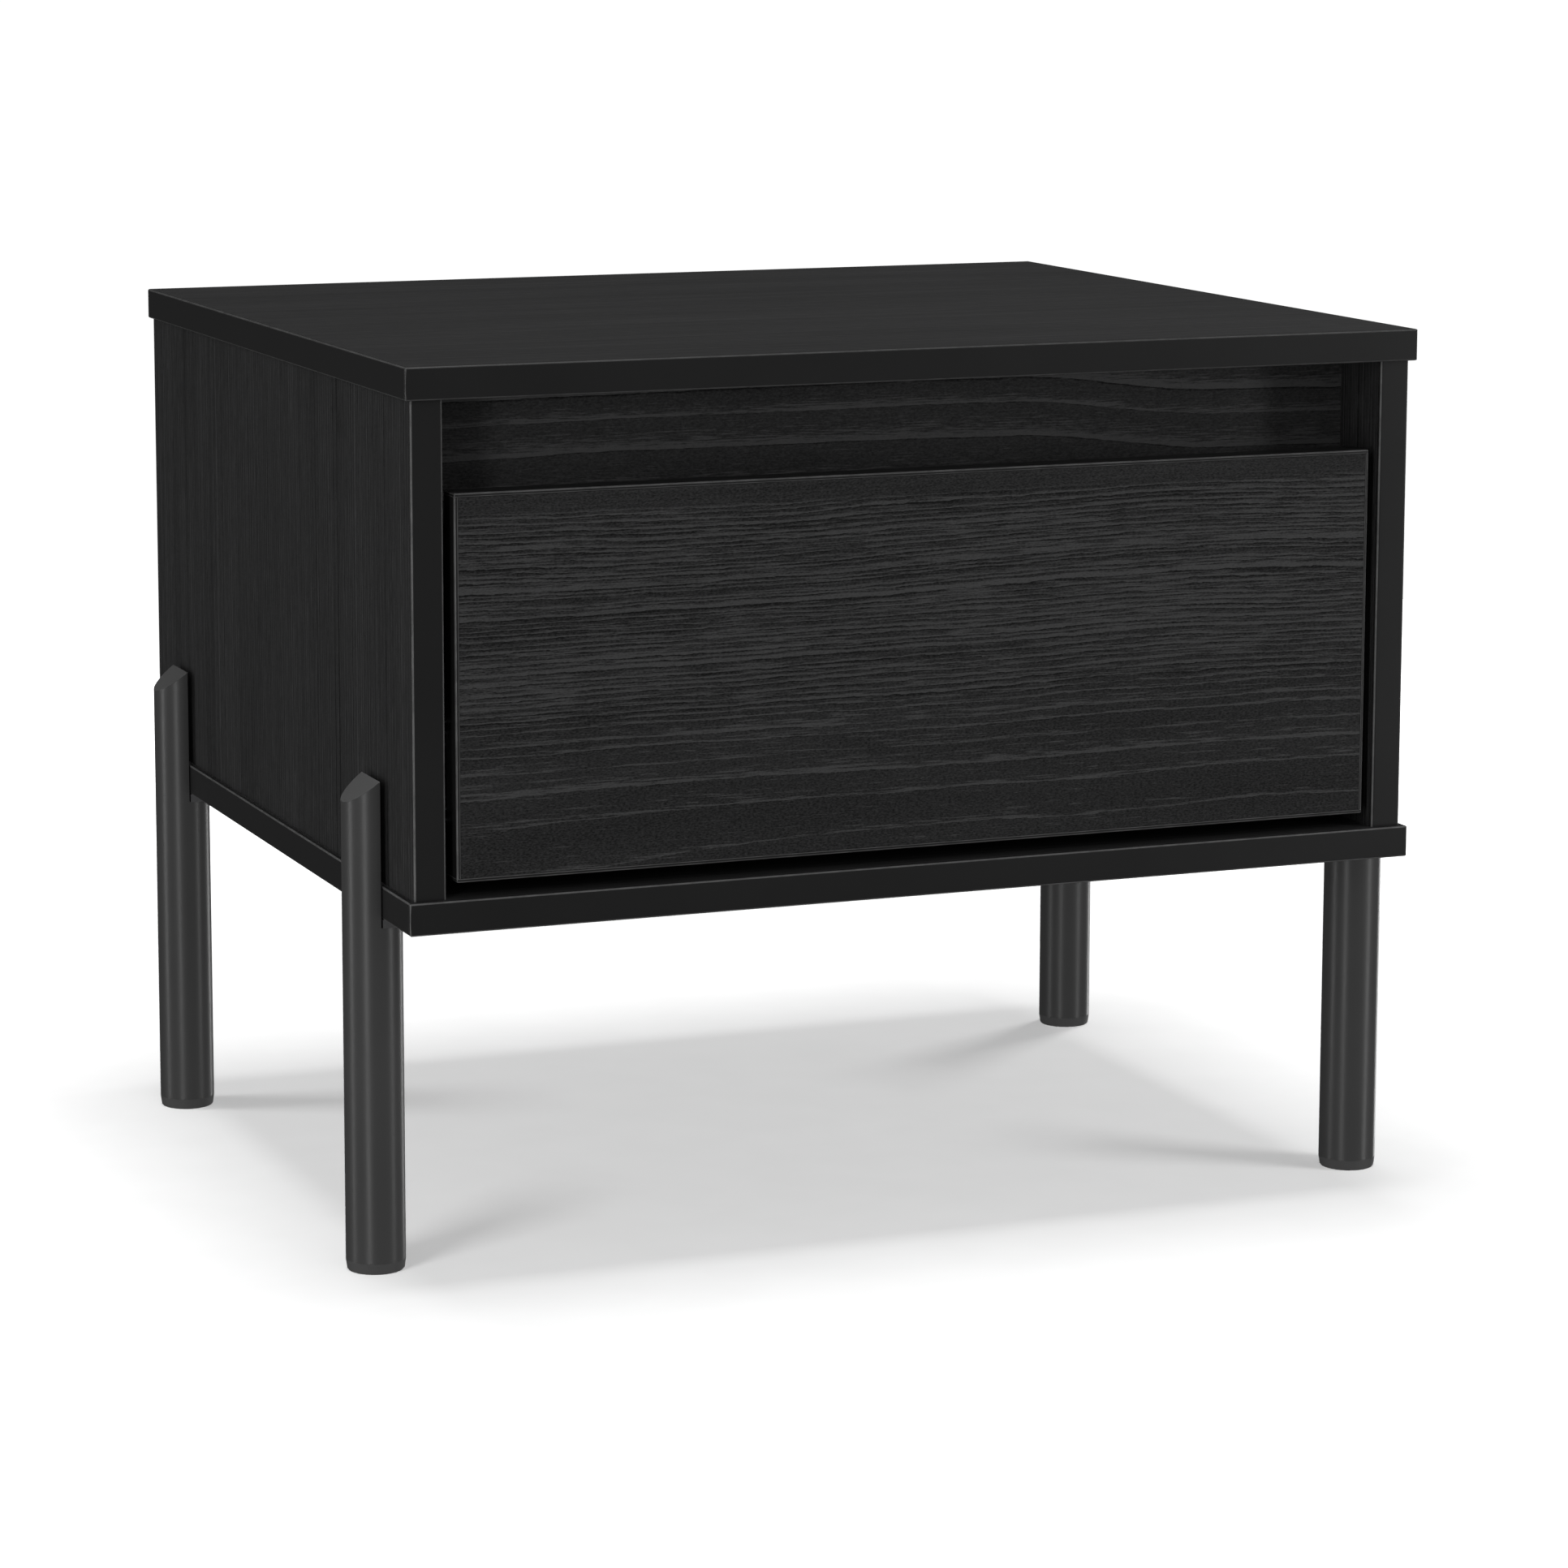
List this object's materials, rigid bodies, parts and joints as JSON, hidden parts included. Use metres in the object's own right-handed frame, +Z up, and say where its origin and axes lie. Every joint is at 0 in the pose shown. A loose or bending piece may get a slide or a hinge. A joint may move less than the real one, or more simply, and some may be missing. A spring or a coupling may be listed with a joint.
{
  "type": "nightstand",
  "caption": "Low bedside cabinet with one inset drawer on ball-bearing runners, a finger slot above its front, and round notched legs at the corners.",
  "frame": {"origin": "on the floor, under the middle of the cabinet", "axes": "+Z up, the front faces -Y, +X is to the right seen from the front"},
  "size_m": [0.5286, 0.434, 0.418],
  "materials": {
    "grained_board": "dark grey laminate with long grain, satin",
    "edge_strip": "plain dark edge strip, satin",
    "drawer_board": "dark grey foil, matt",
    "thin_board": "dark painted hardboard, matt",
    "leg_metal": "dark grey satin paint",
    "foot_plastic": "moulded grey plastic",
    "plate_steel": "dull zinc plated",
    "runner_steel": "zinc plated",
    "cage_steel": "pressed steel",
    "ball_steel": "polished",
    "screw_steel": "zinc plated",
    "cam_zinc": "cast zinc",
    "dowel_wood": "plain beech"
  },
  "bodies": {
    "cabinet": {"top_panel": "grained_board", "top_edge_strips": "edge_strip", "bottom_panel": "grained_board", "bottom_edge_strips": "edge_strip", "side_panel_left": "grained_board", "side_panel_right": "grained_board", "side_edge_strip_left": "edge_strip", "side_edge_strip_right": "edge_strip", "recess_rail": "grained_board", "back_panel": "thin_board", "cabinet_cam_bolts": "screw_steel", "cabinet_cam_housings": "cam_zinc", "cabinet_dowels": "dowel_wood", "leg_front_left": "leg_metal", "leg_front_right": "leg_metal", "leg_rear_left": "leg_metal", "leg_rear_right": "leg_metal", "leg_plate_front_left": "plate_steel", "leg_plate_front_right": "plate_steel", "leg_plate_rear_left": "plate_steel", "leg_plate_rear_right": "plate_steel", "foot_cap_front_left": "foot_plastic", "foot_cap_front_right": "foot_plastic", "foot_cap_rear_left": "foot_plastic", "foot_cap_rear_right": "foot_plastic", "leg_plate_screws": "screw_steel", "runner_cabinet_member_left": "runner_steel", "runner_cabinet_member_right": "runner_steel", "runner_cabinet_screws": "screw_steel"},
    "runner_middle_left": {"runner_middle_member_left": "runner_steel"},
    "runner_middle_right": {"runner_middle_member_right": "runner_steel"},
    "outer_cage_left": {"outer_ball_cage_left": "cage_steel", "outer_balls_left": "ball_steel"},
    "outer_cage_right": {"outer_ball_cage_right": "cage_steel", "outer_balls_right": "ball_steel"},
    "inner_cage_left": {"inner_ball_cage_left": "cage_steel", "inner_balls_left": "ball_steel"},
    "inner_cage_right": {"inner_ball_cage_right": "cage_steel", "inner_balls_right": "ball_steel"},
    "drawer": {"runner_drawer_member_left": "runner_steel", "runner_drawer_member_right": "runner_steel", "runner_drawer_screws": "screw_steel", "drawer_front": "grained_board", "drawer_front_edge_strips": "edge_strip", "drawer_side_left": "drawer_board", "drawer_side_right": "drawer_board", "drawer_back": "drawer_board", "drawer_bottom": "thin_board", "drawer_cam_bolts": "screw_steel", "drawer_cam_housings": "cam_zinc", "drawer_dowels": "dowel_wood", "drawer_back_screws": "screw_steel"}
  },
  "joints": [
    {"name": "drawer_slide", "type": "slide", "parent": "cabinet", "child": "drawer", "axis": [0, -1, 0], "range_m": [0, 0.35]},
    {"name": "runner_middle_left_slide", "type": "slide", "parent": "cabinet", "child": "runner_middle_left", "axis": [0, -1, 0], "range_m": [0, 0.175]},
    {"name": "outer_cage_left_slide", "type": "slide", "parent": "cabinet", "child": "outer_cage_left", "axis": [0, -1, 0], "range_m": [0, 0.0875]},
    {"name": "inner_cage_left_slide", "type": "slide", "parent": "runner_middle_left", "child": "inner_cage_left", "axis": [0, -1, 0], "range_m": [0, 0.0875]},
    {"name": "runner_middle_right_slide", "type": "slide", "parent": "cabinet", "child": "runner_middle_right", "axis": [0, -1, 0], "range_m": [0, 0.175]},
    {"name": "outer_cage_right_slide", "type": "slide", "parent": "cabinet", "child": "outer_cage_right", "axis": [0, -1, 0], "range_m": [0, 0.0875]},
    {"name": "inner_cage_right_slide", "type": "slide", "parent": "runner_middle_right", "child": "inner_cage_right", "axis": [0, -1, 0], "range_m": [0, 0.0875]}
  ],
  "couplings": [
    {"joint": "runner_middle_left_slide", "follows": "drawer_slide", "ratio": 0.5},
    {"joint": "outer_cage_left_slide", "follows": "drawer_slide", "ratio": 0.25},
    {"joint": "inner_cage_left_slide", "follows": "drawer_slide", "ratio": 0.25},
    {"joint": "runner_middle_right_slide", "follows": "drawer_slide", "ratio": 0.5},
    {"joint": "outer_cage_right_slide", "follows": "drawer_slide", "ratio": 0.25},
    {"joint": "inner_cage_right_slide", "follows": "drawer_slide", "ratio": 0.25}
  ]
}
